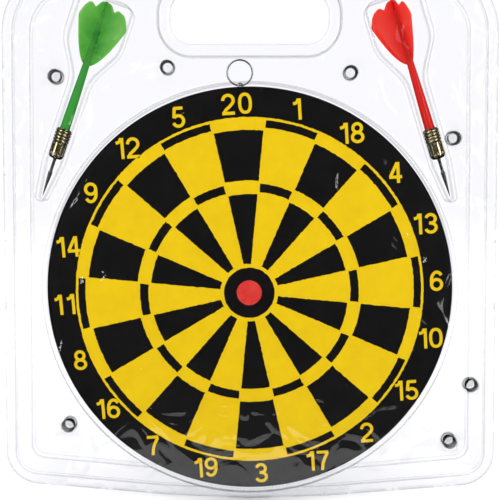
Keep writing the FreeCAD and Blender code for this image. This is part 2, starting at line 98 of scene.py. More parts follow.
def linear(code):
    """Linear RGBA of an sRGB hex colour."""
    parts = [int(code[i:i + 2], 16) / 255 for i in (1, 3, 5)]
    return (*(c / 12.92 if c <= 0.04045 else ((c + 0.055) / 1.055) ** 2.4 for c in parts), 1.0)


def add(tree, kind, inputs=None, **settings):
    """Add a node; an input that is given a socket is linked, any other value is set."""
    node = tree.nodes.new(kind)
    for name, value in settings.items():
        setattr(node, name, value)
    for key, value in (inputs or {}).items():
        if isinstance(value, bpy.types.NodeSocket):
            tree.links.new(value, node.inputs[key])
        else:
            node.inputs[key].default_value = value
    return node


def new_material(name):
    """An empty node material and its output."""
    material = bpy.data.materials.new(name)
    material.use_nodes = True
    tree = material.node_tree
    tree.nodes.clear()
    return material, tree, add(tree, "ShaderNodeOutputMaterial")


def mesh_object(name, points, faces, material, smooth=True, outward=False, sharp=None):
    """A mesh at the origin from points in millimetres."""
    mesh = bpy.data.meshes.new(name)
    mesh.from_pydata([tuple(c * MM for c in p) for p in points], [], faces)
    if outward:
        build = bmesh.new()
        build.from_mesh(mesh)
        bmesh.ops.recalc_face_normals(build, faces=build.faces)
        build.to_mesh(mesh)
        build.free()
    mesh.validate()
    mesh.shade_smooth() if smooth else mesh.shade_flat()
    if sharp is not None:
        mesh.set_sharp_from_angle(angle=math.radians(sharp))
    mesh.materials.append(material)
    piece = bpy.data.objects.new(name, mesh)
    bpy.context.scene.collection.objects.link(piece)
    return piece


def painted(piece, name, values):
    """Store a value for each point of a piece, for its material to read."""
    piece.data.attributes.new(name, "FLOAT", "POINT").data.foreach_set("value", values)
    return piece


def applied(piece, build):
    """Give a piece a modifier, and keep its result as a plain mesh."""
    build(piece)
    bpy.context.view_layer.update()
    seen = piece.evaluated_get(bpy.context.evaluated_depsgraph_get())
    mesh = bpy.data.meshes.new_from_object(seen)
    piece.modifiers.clear()
    piece.data = mesh
    mesh.name = piece.name
    return piece


def finished(piece, body, slot, *nodes):
    """Say what a piece moves with and hide the solids it stands for; its finish (slot) is not used."""
    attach(piece, body)
    if nodes:
        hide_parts(*nodes)
    return piece


def lathe(profile, turns, radius=None):
    """Points and faces of a turned solid from (radius, height) pairs, closed at its poles."""
    points, rings, faces = [], [], []
    for r, s in profile:
        if r <= 0:
            rings.append([len(points)])
            points.append((0, 0, s))
            continue
        rings.append(range(len(points), len(points) + turns))
        for k in range(turns):
            angle = 2 * math.pi * k / turns
            here = r if radius is None else radius(r, s, angle)
            points.append((here * math.cos(angle), here * math.sin(angle), s))
    for low, high in zip(rings, rings[1:]):
        for k in range(turns):
            after = (k + 1) % turns
            if len(low) == 1:
                faces.append((low[0], high[k], high[after]))
            elif len(high) == 1:
                faces.append((low[k], high[0], low[after]))
            else:
                faces.append((low[k], high[k], high[after], low[after]))
    return points, faces


def moved(points, matrix):
    """Points carried by a matrix in millimetres."""
    return [tuple(matrix @ Vector(p)) for p in points]


# ---------------------------------------------------------------- materials


NOISE_SPAN = {"From Min": 0.3, "From Max": 0.7}  # the part of its range that a noise mostly fills


def clear_sheet():
    """Vacuum-formed clear PVC sheet: colourless on the flat; its see-through colour carries painted shade,
    grey where its walls turn edge-on and black on the snap walls.
    """
    material, tree, output = new_material("vacuum_formed_clear_pvc")
    place = add(tree, "ShaderNodeTexCoord").outputs["Object"]
    ripple = add(tree, "ShaderNodeTexNoise", {  # draw ripples from forming
        "Vector": place, "Scale": 1 / (26 * MM), "Detail": 1.5, "Distortion": 1.4,
    })
    bump = add(tree, "ShaderNodeBump", {
        "Height": ripple.outputs[0], "Distance": 2.6 * MM,
    })
    normal = bump.outputs["Normal"]
    # painted shade, not a thinner sheet: the see-through colour goes grey where the sheet turns edge-on, and
    # black where a snap's wall does
    facing = add(tree, "ShaderNodeLayerWeight", {"Blend": 0.5}).outputs["Facing"]
    depth = add(tree, "ShaderNodeMath", {0: facing, 1: 2.2}, operation="POWER").outputs[0]
    steep = add(tree, "ShaderNodeMath", {0: facing, 1: 0.9}, operation="POWER").outputs[0]
    drawn = add(tree, "ShaderNodeMix", {
        0: depth, 6: linear("#FEFEFF"), 7: linear("#DADADF"),
    }, data_type="RGBA").outputs[2]
    snap_wall_painted_shade = add(tree, "ShaderNodeMix", {
        0: steep, 6: linear("#FDFDFE"), 7: linear("#000000"),
    }, data_type="RGBA").outputs[2]
    snap = add(tree, "ShaderNodeAttribute", attribute_name="snap_wall").outputs["Fac"]
    tint = add(tree, "ShaderNodeMix", {0: snap, 6: drawn, 7: snap_wall_painted_shade}, data_type="RGBA").outputs[2]
    through = add(tree, "ShaderNodeBsdfTransparent", {"Color": tint})
    gloss = add(tree, "ShaderNodeBsdfAnisotropic", {
        "Color": linear("#FFFFFF"), "Roughness": 0.07, "Normal": normal,
    })
    fresnel = add(tree, "ShaderNodeFresnel", {"IOR": 1.32, "Normal": normal}).outputs[0]
    share = add(tree, "ShaderNodeMath", {0: fresnel, 1: 0.09}, operation="MINIMUM").outputs[0]
    mixed = add(tree, "ShaderNodeMixShader", {0: share, 1: through.outputs[0], 2: gloss.outputs[0]})
    tree.links.new(mixed.outputs[0], output.inputs["Surface"])
    return material


def printed_paper(name, dark, light, roughness, grain_mm=0.7, grain_depth=0.012):
    """Screen-printed cover paper: a matt ink with a faint mottle and the paper's grain."""
    material, tree, output = new_material(name)
    place = add(tree, "ShaderNodeTexCoord").outputs["Object"]
    mottle = add(tree, "ShaderNodeTexNoise", {
        "Vector": place, "Scale": 1 / (9 * MM), "Detail": 4.0, "Roughness": 0.6,
    })
    grain = add(tree, "ShaderNodeTexNoise", {
        "Vector": place, "Scale": 1 / (grain_mm * MM), "Detail": 2.0,
    }).outputs[0]
    patchy = add(tree, "ShaderNodeMapRange", {0: mottle.outputs[0], **NOISE_SPAN}).outputs[0]
    colour = add(tree, "ShaderNodeMix", {0: patchy, 6: linear(dark), 7: linear(light)}, data_type="RGBA")
    rough = add(tree, "ShaderNodeMapRange", {
        0: grain, **NOISE_SPAN, "To Min": roughness - 0.06, "To Max": roughness + 0.06,
    })
    bump = add(tree, "ShaderNodeBump", {"Height": grain, "Distance": grain_depth * MM})
    shader = add(tree, "ShaderNodeBsdfPrincipled", {
        "Base Color": colour.outputs[2], "Roughness": rough.outputs[0], "IOR": 1.5,
        "Specular IOR Level": 0.1, "Normal": bump.outputs["Normal"],
    })
    tree.links.new(shader.outputs[0], output.inputs["Surface"])
    return material


def wound_paper():
    """Kraft paper strip wound on edge: fine rings of slightly different browns."""
    material, tree, output = new_material("wound_kraft_paper")
    place = add(tree, "ShaderNodeTexCoord").outputs["Object"]
    turns = add(tree, "ShaderNodeTexWave", {
        "Vector": place, "Scale": 1 / (1.6 * MM) / 20, "Distortion": 0.6, "Detail": 2.0, "Detail Scale": 8.0,
    }, wave_type="RINGS", rings_direction="Y").outputs[1]
    colour = add(tree, "ShaderNodeMix", {
        0: turns, 6: linear("#8A6A45"), 7: linear("#B79468"),
    }, data_type="RGBA")
    bump = add(tree, "ShaderNodeBump", {"Height": turns, "Distance": 0.08 * MM})
    shader = add(tree, "ShaderNodeBsdfPrincipled", {
        "Base Color": colour.outputs[2], "Roughness": 0.85, "Normal": bump.outputs["Normal"],
    })
    tree.links.new(shader.outputs[0], output.inputs["Surface"])
    return material


def metal(name, dark, light, roughness, streak_mm=2.0, wear=0.08, groove_painted_shade=None):
    """A turned or drawn metal with a faint uneven sheen; a colour may be given for painted shade in its
    hollows.
    """
    material, tree, output = new_material(name)
    place = add(tree, "ShaderNodeTexCoord").outputs["Object"]
    sheen = add(tree, "ShaderNodeTexNoise", {
        "Vector": place, "Scale": 1 / (streak_mm * MM), "Detail": 4.0,
    }).outputs[0]
    fine = add(tree, "ShaderNodeTexNoise", {
        "Vector": place, "Scale": 1 / (0.35 * MM), "Detail": 2.0,
    })
    patchy = add(tree, "ShaderNodeMapRange", {0: sheen, **NOISE_SPAN}).outputs[0]
    colour = add(tree, "ShaderNodeMix", {
        0: patchy, 6: linear(dark), 7: linear(light),
    }, data_type="RGBA").outputs[2]
    # painted shade: where the crest attribute is low the metal is darkened towards this colour
    if groove_painted_shade:
        crest = add(tree, "ShaderNodeAttribute", attribute_name="crest").outputs["Fac"]
        colour = add(tree, "ShaderNodeMix", {
            0: crest, 6: linear(groove_painted_shade), 7: colour,
        }, data_type="RGBA").outputs[2]
    rough = add(tree, "ShaderNodeMapRange", {
        0: sheen, **NOISE_SPAN, "To Min": roughness - wear / 2, "To Max": roughness + wear,
    })
    bump = add(tree, "ShaderNodeBump", {
        "Height": fine.outputs[0], "Distance": 0.004 * MM,
    })
    shader = add(tree, "ShaderNodeBsdfPrincipled", {
        "Base Color": colour, "Roughness": rough.outputs[0], "Metallic": 1.0,
        "Normal": bump.outputs["Normal"],
    })
    tree.links.new(shader.outputs[0], output.inputs["Surface"])
    return material


def flight_plastic(name, thin, thick, pale, glow):
    """Soft translucent moulded polyethylene: fins let light through and pale at their edges."""
    material, tree, output = new_material(name)
    place = add(tree, "ShaderNodeTexCoord").outputs["Object"]
    cloud = add(tree, "ShaderNodeTexNoise", {
        "Vector": place, "Scale": 1 / (7 * MM), "Detail": 3.0,
    })
    flow = add(tree, "ShaderNodeTexNoise", {
        "Vector": place, "Scale": 1 / (2.2 * MM), "Detail": 3.0, "Distortion": 1.2,
    })
    stem = add(tree, "ShaderNodeAttribute", attribute_name="stem").outputs["Fac"]
    rim = add(tree, "ShaderNodeAttribute", attribute_name="fin_edge").outputs["Fac"]
    patchy = add(tree, "ShaderNodeMapRange", {0: cloud.outputs[0], **NOISE_SPAN}).outputs[0]
    fin_colour = add(tree, "ShaderNodeMix", {
        0: patchy, 6: linear(thick), 7: linear(thin),
    }, data_type="RGBA").outputs[2]
    edged = add(tree, "ShaderNodeMix", {0: rim, 6: fin_colour, 7: linear(pale)}, data_type="RGBA").outputs[2]
    colour = add(tree, "ShaderNodeMix", {0: stem, 6: edged, 7: linear(thick)}, data_type="RGBA").outputs[2]
    bump = add(tree, "ShaderNodeBump", {"Height": flow.outputs[0], "Distance": 0.3 * MM})
    skin = add(tree, "ShaderNodeBsdfPrincipled", {
        "Base Color": colour, "Roughness": 0.24, "IOR": 1.5, "Normal": bump.outputs["Normal"],
    })
    lit = add(tree, "ShaderNodeBsdfTranslucent", {"Color": colour})
    body = add(tree, "ShaderNodeMixShader", {0: 0.4, 1: skin.outputs[0], 2: lit.outputs[0]})
    through = add(tree, "ShaderNodeBsdfTransparent", {"Color": linear(glow)})
    share = add(tree, "ShaderNodeMapRange", {0: stem, "To Min": 0.58, "To Max": 0.0}).outputs[0]
    mixed = add(tree, "ShaderNodeMixShader", {0: share, 1: body.outputs[0], 2: through.outputs[0]})
    tree.links.new(mixed.outputs[0], output.inputs["Surface"])
    return material


# ---------------------------------------------------------------- the formed shells


def rounded(corners, step=2.2):
    """Closed outline through (x, z) or (x, z, radius) corners, as evenly spaced points."""
    count, path = len(corners), []
    for i, corner in enumerate(corners):
        here = np.array(corner[:2], float)
        if len(corner) == 2:
            path.append(here)
            continue
        before = np.array(corners[i - 1][:2], float) - here
        after = np.array(corners[(i + 1) % count][:2], float) - here
        before, after = before / np.linalg.norm(before), after / np.linalg.norm(after)
        half = math.acos(np.clip(before @ after, -1, 1)) / 2
        reach = corner[2] / math.tan(half)
        middle = before + after
        centre = here + middle / np.linalg.norm(middle) * corner[2] / math.sin(half)
        start, end = here + before * reach - centre, here + after * reach - centre
        first = math.atan2(start[1], start[0])
        sweep = (math.atan2(end[1], end[0]) - first + math.pi) % (2 * math.pi) - math.pi
        pieces = max(2, int(abs(sweep) / math.radians(7)))
        for k in range(pieces + 1):
            angle = first + sweep * k / pieces
            path.append(centre + corner[2] * np.array((math.cos(angle), math.sin(angle))))
    path = np.array(path)
    area = np.sum(path[:, 0] * np.roll(path[:, 1], -1) - np.roll(path[:, 0], -1) * path[:, 1])
    if area < 0:
        path = path[::-1]
    full = []
    for a, b in zip(path, np.roll(path, -1, axis=0)):
        parts = max(1, round(np.linalg.norm(b - a) / step))
        full += [a + (b - a) * k / parts for k in range(parts)]
    return np.array(full)


def ring_points(radius, centre=(0.0, 0.0), step=2.2):
    """A circle as an outline."""
    count = max(18, round(2 * math.pi * radius / step))
    angles = np.arange(count) * 2 * math.pi / count
    return np.stack((centre[0] + radius * np.cos(angles), centre[1] + radius * np.sin(angles)), 1)


def inside(path, points):
    """Distance of each point inside (or, negative, outside) an outline."""
    a, b = path, np.roll(path, -1, axis=0)
    along = b - a
    length = (along ** 2).sum(1)
    nearest = np.empty(len(points))
    crossings = np.zeros(len(points), bool)
    for start in range(0, len(points), 2000):
        p = points[start:start + 2000, None, :]
        t = np.clip(((p - a) * along).sum(2) / length, 0, 1)
        gap = p - (a + t[..., None] * along)
        nearest[start:start + 2000] = np.sqrt((gap ** 2).sum(2).min(1))
        px, pz = p[..., 0], p[..., 1]
        spans = (a[:, 1] > pz) != (b[:, 1] > pz)
        with np.errstate(divide="ignore", invalid="ignore"):
            meets = a[:, 0] + (pz - a[:, 1]) / (b[:, 1] - a[:, 1]) * (b[:, 0] - a[:, 0])
        crossings[start:start + 2000] = (spans & (px < meets)).sum(1) % 2 == 1
    return np.where(crossings, nearest, -nearest)


def offset(path, distance):
    """An outline moved inwards."""
    along = np.roll(path, -1, axis=0) - np.roll(path, 1, axis=0)
    along /= np.linalg.norm(along, axis=1)[:, None]
    return path + distance * np.stack((-along[:, 1], along[:, 0]), 1)


def ramp(t):
    """A formed wall from foot to crest: nearly straight, with rounded ends."""
    t = np.clip(t, 0, 1)
    soft = t * t * (3 - 2 * t)
    return 0.35 * t + 0.65 * soft


def pack_corners(inset, top, low):
    """Corners of the pack's outline, moved inwards."""
    side, high, base = PACK_SIDE - inset, PACK_TOP - inset, PACK_BASE + inset
    foot = side + PACK_FLARE
    bottom = [(-foot, base, low), (0, base - PACK_BOW, 600), (foot, base, low)]
    return [(-side, high, top), *bottom, (side, high, top)]


def pocket_corners(colour):
    """Corners of a dart's pocket, outside the sheet."""
    right = [(3.7, -4.0, 3.6), (6.9, 20.4), (6.9, 71.7, 20), (18.3, 91.7, 20), (18.3, 121.4, 7.5)]
    lean = math.radians(DARTS[colour]["lean"])
    tip = DARTS[colour]["tip"]
    local = right + [(-c[0], *c[1:]) for c in reversed(right)]
    return [
        (tip[0] + x * math.cos(lean) + s * math.sin(lean),
         tip[1] - x * math.sin(lean) + s * math.cos(lean), *rest)
        for x, s, *rest in local
    ]


def handle_corners(extra):
    """Corners of the handle hole, grown on every side."""
    side, low, high = HANDLE_SIDE + extra, HANDLE_LOW - extra, HANDLE_HIGH + extra
    corners = (-side, high), (-side, low), (side, low), (side, high)
    return [(x, z, HANDLE_CORNER + extra) for x, z in corners]


def level(path, width, low, high):
    """A raised level: its outline, how wide its wall is, and the heights at foot and crest."""
    return {"path": path, "width": width, "low": low, "high": high}


RAISED = [
    level(rounded(pack_corners(FLANGE_WIDTH, 36.5, 14.5)), 1.0, 0.0, LAND_RISE),
    level(rounded(pack_corners(FLANGE_WIDTH + LAND_WIDTH, 26.0, 9.0)), 1.0, LAND_RISE, PLATEAU_RISE),
    level(ring_points(CAVITY_RADIUS), 1.7, 0.0, ROOF_RISE),
    level(rounded(pocket_corners("green"), 1.8), 1.7, 0.0, ROOF_RISE),
    level(rounded(pocket_corners("red"), 1.8), 1.7, 0.0, ROOF_RISE),
]
WELL = level(rounded(handle_corners(HANDLE_BORDER), 1.8), 1.2, PLATEAU_RISE, 0.0)
EDGE = rounded(pack_corners(0.1, 42, 20))
HOLE = rounded(handle_corners(0), 1.8)


def rise_of(item, points):
    """Height of one level's own surface at some points."""
    depth = inside(item["path"], points)
    height = item["low"] + (item["high"] - item["low"]) * ramp(depth / item["width"])
    return np.where(depth > 0, height, 0.0), depth


def sheet_height(points, front):
    """How far the outside of a shell stands out from its flange."""
    height = np.zeros(len(points))
    for item in RAISED:
        height = np.maximum(height, rise_of(item, points)[0])
    well = inside(WELL["path"], points)
    height = np.where(well > 0, height * (1 - ramp(well / WELL["width"])), height)
    for x, z, stands in SNAPS:
        away = np.hypot(points[:, 0] - x, points[:, 1] - z)
        if front:
            push = ramp((STUD_RADIUS - away) / STUD_WALL)
            height = np.where(away < STUD_RADIUS, height + (STUD_END - height) * push, height)
        else:
            push = ramp((CUP_RADIUS - away) / CUP_WALL)
            height = np.where(away < CUP_RADIUS, height + (CUP_END - height) * push, height)
    return height


def sheet_ripple(points, seed):
    """Gentle unevenness of the drawn sheet over its flats, always inwards."""
    x, z = points[:, 0] / 1000, points[:, 1] / 1000
    dice = random.Random(seed)
    wave = np.zeros(len(points))
    for size in (95, 70, 52, 38, 30):
        turn, shift = dice.uniform(0, math.pi), dice.uniform(0, 2 * math.pi)
        run = (x * math.cos(turn) + z * math.sin(turn)) * 1000
        bend = 0.25 * size * np.sin((z * math.cos(turn) - x * math.sin(turn)) * 1000 / size * 2.1 + shift)
        wave += size / 285 * np.sin((run + bend) / size * 2 * math.pi + shift)
    return 0.15 * (1 - np.clip(wave, -1, 1))


def sheet_points(front):
    """Points along every wall and fold, and a loose grid over the flats between them."""
    points = []
    for item in RAISED + [WELL]:
        for share in (0, 0.12, 0.28, 0.42, 0.58, 0.72, 0.88, 1.0, 1.5):
            ring = offset(item["path"], share * item["width"])
            if item is WELL:
                points.append(ring)
                continue
            own, _ = rise_of(item, ring)
            keep = sheet_height(ring, front) <= own + 0.25
            points.append(ring[keep])
        points.append(offset(item["path"], -0.6))
    radii = (2.0, 2.6, 2.8, 2.95, 3.1, 3.25, 3.4, 3.55, 3.7, 4.1, 5.0)
    if not front:
        radii = (2.4, 3.3, 3.6, 3.7, 3.85, 4.0, 4.15, 4.3, 4.7, 5.6)
    for x, z, _ in SNAPS:
        points += [ring_points(r, (x, z), 0.75) for r in radii]
        points.append(np.array([(x, z)]))
    points.append(offset(EDGE, 2.5))
    points.append(offset(HOLE, -2.5))
    walls = np.concatenate(points)
    keep = (inside(EDGE, walls) > 0.3) & (inside(HOLE, walls) < -0.3)
    for x, z, _ in SNAPS:
        near = np.hypot(walls[:, 0] - x, walls[:, 1] - z)
        limit = radii[-1] + 0.3
        keep &= (near > limit) | (np.abs(near[:, None] - np.array((0,) + radii)).min(1) < 1e-6)
    walls = walls[keep]
    span = np.arange(-144, 145, 6.0)
    rows = np.arange(-126, 192, 6.0)
    grid = np.array([(x + (j % 2) * 3, z) for j, z in enumerate(rows) for x in span])
    grid = grid[(inside(EDGE, grid) > 1.5) & (inside(HOLE, grid) < -1.5)]
    clear = np.array([np.min((walls[:, 0] - g[0]) ** 2 + (walls[:, 1] - g[1]) ** 2) > 2.2 for g in grid])
    return np.concatenate((walls, grid[clear]))


def formed_shell(name, front, material):
    """One clear shell as a single formed sheet with a real thickness."""
    loops = [EDGE, HOLE]
    fixed = np.concatenate(loops)
    loose = sheet_points(front)
    points = np.concatenate((fixed, loose))
    edges, start = [], 0
    for loop in loops:
        count = len(loop)
        edges += [(start + k, start + (k + 1) % count) for k in range(count)]
        start += count
    places, _, cells, *_ = delaunay_2d_cdt([Vector(p) for p in points], edges, [], 0, 1e-4)
    flat = np.array([tuple(p) for p in places])
    cells = np.array([c for c in cells if len(c) == 3])
    middle = flat[cells].mean(1)
    cells = cells[(inside(EDGE, middle) > 0) & (inside(HOLE, middle) < 0)]
    a, b, c = flat[cells[:, 0]], flat[cells[:, 1]], flat[cells[:, 2]]
    turn = (b[:, 0] - a[:, 0]) * (c[:, 1] - a[:, 1]) - (b[:, 1] - a[:, 1]) * (c[:, 0] - a[:, 0])
    cells[turn < 0] = cells[turn < 0][:, ::-1]
    height = sheet_height(flat, front)
    edge = np.clip(inside(EDGE, flat) / 12, 0, 1)
    flatness = np.ones(len(flat))
    for x, z, _ in SNAPS:
        flatness *= np.clip((np.hypot(flat[:, 0] - x, flat[:, 1] - z) - 5) / 8, 0, 1)
    height = height - sheet_ripple(flat, 5 if front else 9) * edge * flatness * np.clip(height, 0, 1)
    if front:
        depth = FRONT_FLANGE + height
    else:
        depth = BACK_FLANGE - height
        cells = cells[:, ::-1]
    solid = [(p[0], -d, p[1]) for p, d in zip(flat, depth)]
    piece = mesh_object(name, solid, [tuple(int(i) for i in f) for f in cells], material)
    # marks the snap walls, where the clear sheet's colour turns to black painted shade
    from_snap = [min(math.hypot(p[0] - x, p[1] - z) for x, z, _ in SNAPS) for p in flat]
    on_snap = [max(0.0, min(1.0, (5.2 - away) / 0.5)) for away in from_snap]
    painted(piece, "snap_wall", on_snap)

    def thicken(item):
        wall = item.modifiers.new("sheet", "SOLIDIFY")
        wall.thickness, wall.offset = FILM * MM, -1
        wall.use_quality_normals = True

    return applied(piece, thicken)


# ---------------------------------------------------------------- the board


def facing_front(side=1):
    """Stand a piece made round the Z axis on the board's own axis, facing forward."""
    turn = Matrix.Rotation(math.radians(90 * side), 4, "X")
    return Matrix.Translation((0, -SEAM, 0)) @ turn


def cover_profile():
    """A cover sheet drawn over the rounded rim to its middle: outside, then inside."""
    outside = [(0, BOARD_HALF)]
    outside += [(r, BOARD_HALF) for r in (30, 60, 90, 112)]
    inner_round = RIM_ROUND - COVER
    centre = (BOARD_RADIUS - RIM_ROUND, BOARD_HALF - RIM_ROUND)
    bends = [math.radians(90 - 90 * k / 10) for k in range(11)]
    outside += [(centre[0] + RIM_ROUND * math.cos(a), centre[1] + RIM_ROUND * math.sin(a)) for a in bends]
    outside += [(BOARD_RADIUS, 1.2), (BOARD_RADIUS, 0)]
    back = [(BOARD_RADIUS - COVER, 0), (BOARD_RADIUS - COVER, 1.2)]
    back += [(centre[0] + inner_round * math.cos(a), centre[1] + inner_round * math.sin(a))
             for a in reversed(bends)]
    return outside + back + [(60, BOARD_HALF - COVER), (0, BOARD_HALF - COVER)]


def board_cover(name, side, material):
    """The paper cover of one side of the board."""
    points, faces = lathe(cover_profile(), 240)
    return mesh_object(name, moved(points, facing_front(side)), faces, material, outward=True, sharp=40)


BANDS = {  # inner and outer radius of the black patches, in shares of the print's radius
    "even": ((0.167, 0.567), (0.644, 0.928)),
    "odd": ((0.581, 0.629), (0.944, 0.986)),
}
LINE_HALF = 0.5  # a black patch stops this far from the line between two sectors
SECTORS = 20


def patch(inner, outer, first, last, inset, step=1.3):
    """Outline of a wedge-shaped patch, its straight sides parallel to the sector lines."""
    inner, outer = inner * PRINT_RADIUS, outer * PRINT_RADIUS
    points = []
    for radius, flip in ((inner, False), (outer, True)):
        cut = math.asin(inset / radius) if inset else 0.0
        a, b = first + cut, last - cut
        count = max(2, round(radius * (b - a) / step))
        arc = [(radius * math.sin(a + (b - a) * k / count), radius * math.cos(a + (b - a) * k / count))
               for k in range(count + 1)]
        points.append(arc[::-1] if flip else arc)
    ends = []
    for here, there in ((points[0][-1], points[1][0]), (points[1][-1], points[0][0])):
        count = max(1, round(math.dist(here, there) / step))
        ends.append([(here[0] + (there[0] - here[0]) * k / count, here[1] + (there[1] - here[1]) * k / count)
                     for k in range(1, count)])
    return points[0] + ends[0] + points[1] + ends[1]


def cut_sheet(outlines):
    """Triangles inside the first outline and outside all the others."""
    points, faces = [], []
    for outline in outlines:
        faces.append(list(range(len(points), len(points) + len(outline))))
        points += [Vector(p) for p in outline]
    places, _, cells, _, _, owners = delaunay_2d_cdt(points, [], faces, 1, 1e-4)
    kept = [cell for cell, owner in zip(cells, owners) if owner and 0 in owner and len(set(owner)) == 1]
    return [tuple(p) for p in places], kept


def sector_pair():
    """The yellow of two neighbouring sectors, a tenth of the print, round straight up."""
    half = math.pi / SECTORS
    outline = patch(0.146, 1.0, -half, 3 * half, 0.0)
    holes = [patch(*band, -half, half, LINE_HALF) for band in BANDS["even"]]
    holes += [patch(*band, half, 3 * half, LINE_HALF) for band in BANDS["odd"]]
    return cut_sheet([outline] + holes)


def print_tree(material):
    """Geometry Nodes: repeat a pair of sectors round the bull, roughen its ink edges, raise the ink."""
    tree = bpy.data.node_groups.new("ink_round_the_bull", "GeometryNodeTree")
    face = tree.interface
    face.new_socket("Geometry", in_out="INPUT", socket_type="NodeSocketGeometry")
    named = {}
    for name, kind, value in (
        ("Repeats", "NodeSocketInt", SECTORS // 2),
        ("Edge Roughness", "NodeSocketFloat", 1.2 * MM),
        ("Roughness Scale", "NodeSocketFloat", 1 / (1.0 * MM)),
        ("Ink Thickness", "NodeSocketFloat", PRINT_THICK * MM),
    ):
        socket = face.new_socket(name, in_out="INPUT", socket_type=kind)
        socket.default_value = value
        named[name] = socket.identifier
    face.new_socket("Geometry", in_out="OUTPUT", socket_type="NodeSocketGeometry")
    given = add(tree, "NodeGroupInput").outputs
    # one point for each repeat, all on the board's axis
    line = add(tree, "GeometryNodeMeshLine", {"Count": given["Repeats"], "Offset": (0, 0, 0)})
    count = add(tree, "GeometryNodeInputIndex").outputs[0]
    part = add(tree, "ShaderNodeMath", {0: math.tau, 1: given["Repeats"]}, operation="DIVIDE").outputs[0]
    angle = add(tree, "ShaderNodeMath", {0: count, 1: part}, operation="MULTIPLY").outputs[0]
    turn = add(tree, "ShaderNodeCombineXYZ", {"Y": angle}).outputs[0]
    copies = add(tree, "GeometryNodeInstanceOnPoints", {
        "Points": line.outputs[0], "Instance": given["Geometry"], "Rotation": turn,
    })
    real = add(tree, "GeometryNodeRealizeInstances", {0: copies.outputs[0]})
    joined = add(tree, "GeometryNodeMergeByDistance", {"Geometry": real.outputs[0], "Distance": 0.02 * MM})
    ragged = add(tree, "ShaderNodeTexNoise", {
        "Vector": add(tree, "GeometryNodeInputPosition").outputs[0],
        "Scale": given["Roughness Scale"], "Detail": 2.0,
    })
    centred = add(tree, "ShaderNodeVectorMath", {
        0: ragged.outputs["Color"], 1: (0.5, 0.5, 0.5),
    }, operation="SUBTRACT")
    in_plane = add(tree, "ShaderNodeVectorMath", {0: centred.outputs[0], 1: (1, 0, 1)}, operation="MULTIPLY")
    push = add(tree, "ShaderNodeVectorMath", {
        0: in_plane.outputs[0], "Scale": given["Edge Roughness"],
    }, operation="SCALE")
    rough = add(tree, "GeometryNodeSetPosition", {"Geometry": joined.outputs[0], "Offset": push.outputs[0]})
    raised = add(tree, "GeometryNodeExtrudeMesh", {
        "Mesh": rough.outputs[0], "Offset Scale": given["Ink Thickness"], "Individual": False,
    })
    under = add(tree, "GeometryNodeFlipFaces", {0: rough.outputs[0]})
    both = add(tree, "GeometryNodeJoinGeometry")
    tree.links.new(raised.outputs[0], both.inputs[0])
    tree.links.new(under.outputs[0], both.inputs[0])
    closed = add(tree, "GeometryNodeMergeByDistance", {"Geometry": both.outputs[0], "Distance": 0.002 * MM})
    flat = add(tree, "GeometryNodeSetShadeSmooth", {"Geometry": closed.outputs[0], "Shade Smooth": False})
    painted = add(tree, "GeometryNodeSetMaterial", {"Geometry": flat.outputs[0], "Material": material})
    result = add(tree, "NodeGroupOutput")
    tree.links.new(painted.outputs[0], result.inputs[0])
    return tree, named


def arc(cx, cz, rx, rz, first, last, steps=16, power=1.0):
    """Points of part of an ellipse, in degrees anticlockwise; power under 1 squares it off."""
    points = []
    for k in range(steps + 1):
        angle = math.radians(first + (last - first) * k / steps)
        c, s = math.cos(angle), math.sin(angle)
        points.append((cx + rx * math.copysign(abs(c) ** power, c),
                       cz + rz * math.copysign(abs(s) ** power, s)))
    return points


STROKE = 0.15
NUMERALS = {  # centre lines in a box one high; a line that ends where it starts is a loop
    "0": [arc(0.33, 0.5, 0.255, 0.425, 0, 360, 28, 0.85)],
    "1": [[(0.42, 0.0), (0.42, 1.0)], [(0.12, 0.765), (0.24, 0.785), (0.32, 0.85), (0.37, 0.98)]],
    "2": [arc(0.33, 0.68, 0.25, 0.245, 180, -32, 16) + [(0.4, 0.4), (0.2, 0.24), (0.1, 0.09)],
          [(0.02, 0.075), (0.62, 0.075)]],
    "3": [arc(0.32, 0.715, 0.225, 0.21, 165, -82, 16), arc(0.32, 0.29, 0.25, 0.215, 84, -165, 18),
          [(0.24, 0.515), (0.37, 0.515)]],
    "4": [[(0.46, 0.0), (0.46, 1.0)], [(0.03, 0.29), (0.64, 0.29)], [(0.43, 0.98), (0.075, 0.3)]],
    "5": [[(0.14, 0.925), (0.56, 0.925)], [(0.17, 0.96), (0.115, 0.47)],
          arc(0.32, 0.325, 0.25, 0.25, 140, -160, 18)],
    "6": [arc(0.33, 0.32, 0.245, 0.245, 0, 360, 24), arc(0.355, 0.5, 0.27, 0.425, 180, 38, 16),
          [(0.085, 0.5), (0.085, 0.32)]],
    "7": [[(0.03, 0.925), (0.6, 0.925)], [(0.57, 0.89), (0.42, 0.62), (0.31, 0.34), (0.27, 0.0)]],
    "8": [arc(0.33, 0.72, 0.205, 0.205, 0, 360, 24), arc(0.33, 0.29, 0.25, 0.215, 0, 360, 24)],
}
NUMERALS["9"] = [[(0.66 - x, 1 - z) for x, z in line] for line in NUMERALS["6"]]
NUMBERS = (20, 1, 18, 4, 13, 6, 10, 15, 2, 17, 3, 19, 7, 16, 8, 11, 14, 9, 12, 5)
NUMERAL_HEIGHT = 12.1
NUMERAL_STEP = 0.8
NARROW_STEP = 0.6  # after a 1
NUMBER_RADIUS = 1.075
NUDGE = {1: 0.9, 11: 1.1, 8: 1.5, 7: 1.0, 9: 0.9, 19: 0.4, 16: -0.5, 12: -0.5}  # sideways in mm


